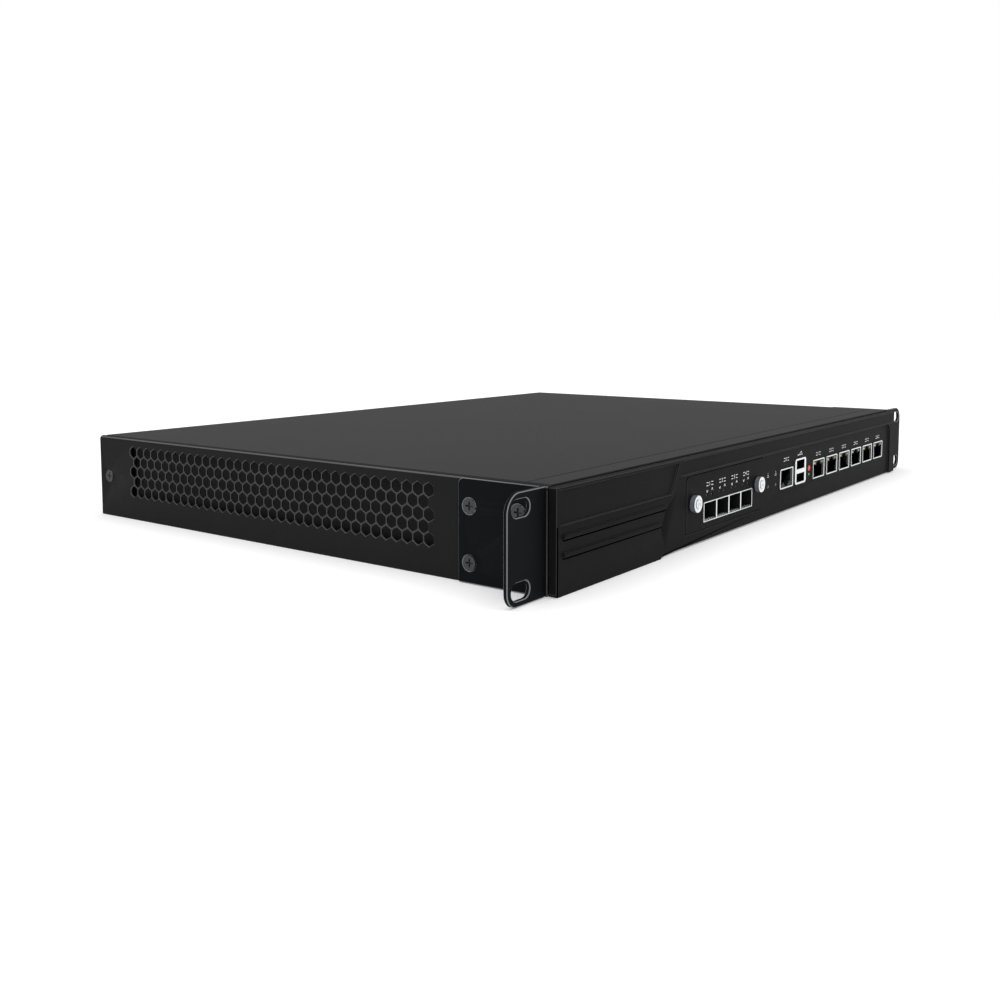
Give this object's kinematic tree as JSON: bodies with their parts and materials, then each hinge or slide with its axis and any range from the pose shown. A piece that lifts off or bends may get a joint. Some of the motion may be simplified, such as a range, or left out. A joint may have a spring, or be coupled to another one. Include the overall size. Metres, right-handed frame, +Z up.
{
  "type": "rack firewall appliance",
  "caption": "Shallow rack appliance with a slide-out optical port module, a row of network sockets, bent rack ears and side vents.",
  "frame": {"origin": "on the underside, below the middle of the overall box", "axes": "+X to the right across the front, +Y to the rear, +Z up; the front faces -Y"},
  "size_m": [0.4826, 0.312, 0.044],
  "materials": {
    "sheet_dark": "fine satin powder coat",
    "cover_grey": "fine satin powder coat",
    "bezel_grey": "fine matte texture",
    "ear_black": "satin powder coat",
    "zinc_sheet": "zinc plated",
    "port_metal": "nickel plated",
    "fastener_black": "black zinc",
    "fastener_steel": "nickel plated",
    "spring_steel": "bare spring wire",
    "brass": "turned",
    "tongue_teal": "moulded",
    "button_red": "moulded",
    "light_guide": "clear moulded",
    "board_green": "solder mask",
    "black_plastic": "moulded",
    "rotor_black": "moulded",
    "rocker_black": "moulded",
    "heatsink_alu": "extruded",
    "chip_metal": "nickel plated",
    "lead_yellow": "wire insulation"
  },
  "bodies": {
    "case": {"chassis_floor": "sheet_dark", "left_side_panel": "sheet_dark", "right_side_panel": "sheet_dark", "rear_panel": "sheet_dark", "top_cover": "cover_grey", "front_top_rail": "cover_grey", "front_bezel": "bezel_grey", "left_rack_ear": "ear_black", "right_rack_ear": "ear_black", "front_wall": "zinc_sheet", "module_guides": "zinc_sheet", "power_supply_case": "zinc_sheet", "lan_jack_1": "port_metal", "lan_jack_2": "port_metal", "lan_jack_3": "port_metal", "lan_jack_4": "port_metal", "lan_jack_5": "port_metal", "lan_jack_6": "port_metal", "console_jack": "port_metal", "usb_shell": "port_metal", "case_screws": "fastener_black", "board_screws": "fastener_steel", "reset_spring": "spring_steel", "board_standoffs": "brass", "ground_stud": "brass", "usb_tongues": "tongue_teal", "light_pipes": "light_guide", "motherboard": "board_green", "backplane_board": "board_green", "power_supply_board": "board_green", "memory_modules": "board_green", "storage_card": "board_green", "reset_switch": "black_plastic", "memory_sockets": "black_plastic", "module_socket": "black_plastic", "ac_inlet": "black_plastic", "switch_frame": "black_plastic", "left_fan_frame": "black_plastic", "right_fan_frame": "black_plastic", "processor_heatsink": "heatsink_alu", "processor": "chip_metal", "coin_cell": "chip_metal", "inlet_pins": "chip_metal", "power_leads": "lead_yellow"},
    "network_module": {"module_faceplate": "bezel_grey", "module_card": "board_green", "sfp_cage": "port_metal", "sfp_connectors": "black_plastic", "module_heatsink": "heatsink_alu", "thumbscrew_ferrules": "fastener_steel", "left_thumbscrew_spring": "spring_steel", "right_thumbscrew_spring": "spring_steel"},
    "left_screw_washer": {"left_thumbscrew_washer": "fastener_steel"},
    "left_screw": {"left_thumbscrew": "fastener_steel"},
    "right_screw_washer": {"right_thumbscrew_washer": "fastener_steel"},
    "right_screw": {"right_thumbscrew": "fastener_steel"},
    "reset_plunger": {"reset_button": "button_red"},
    "power_rocker": {"switch_rocker": "rocker_black"},
    "left_rotor": {"left_fan_rotor": "rotor_black"},
    "right_rotor": {"right_fan_rotor": "rotor_black"}
  },
  "joints": [
    {"name": "module_slide", "type": "slide", "parent": "case", "child": "network_module", "axis": [0, -1, 0], "range_m": [0, 0.15]},
    {"name": "left_screw_draw", "type": "slide", "parent": "network_module", "child": "left_screw_washer", "axis": [0, -1, 0], "range_m": [0, 0.004], "deforming": ["left_thumbscrew_spring"]},
    {"name": "left_screw_turn", "type": "hinge", "parent": "left_screw_washer", "child": "left_screw", "pos_m": [-0.0959, -0.156, 0.0207], "axis": [0, -1, 0], "range_deg": [0, 2880]},
    {"name": "right_screw_draw", "type": "slide", "parent": "network_module", "child": "right_screw_washer", "axis": [0, -1, 0], "range_m": [0, 0.004], "deforming": ["right_thumbscrew_spring"]},
    {"name": "right_screw_turn", "type": "hinge", "parent": "right_screw_washer", "child": "right_screw", "pos_m": [-0.021, -0.156, 0.0207], "axis": [0, -1, 0], "range_deg": [0, 2880]},
    {"name": "reset_press", "type": "slide", "parent": "case", "child": "reset_plunger", "axis": [0, 1, 0], "range_m": [0, 0.0008], "stiffness_N_per_m": 400, "springref_m": -0.0005, "deforming": ["reset_spring"]},
    {"name": "power_rock", "type": "hinge", "parent": "case", "child": "power_rocker", "pos_m": [0.128, 0.148, 0.022], "axis": [-1, 0, 0], "range_deg": [0, 22]},
    {"name": "left_fan_spin", "type": "hinge", "parent": "case", "child": "left_rotor", "pos_m": [-0.092, 0.1388, 0.022], "axis": [0, 1, 0], "continuous": true},
    {"name": "right_fan_spin", "type": "hinge", "parent": "case", "child": "right_rotor", "pos_m": [-0.04, 0.1388, 0.022], "axis": [0, 1, 0], "continuous": true}
  ],
  "couplings": [
    {"joint": "left_screw_turn", "follows": "left_screw_draw", "rad_per_m": 12566},
    {"joint": "right_screw_turn", "follows": "right_screw_draw", "rad_per_m": 12566}
  ]
}
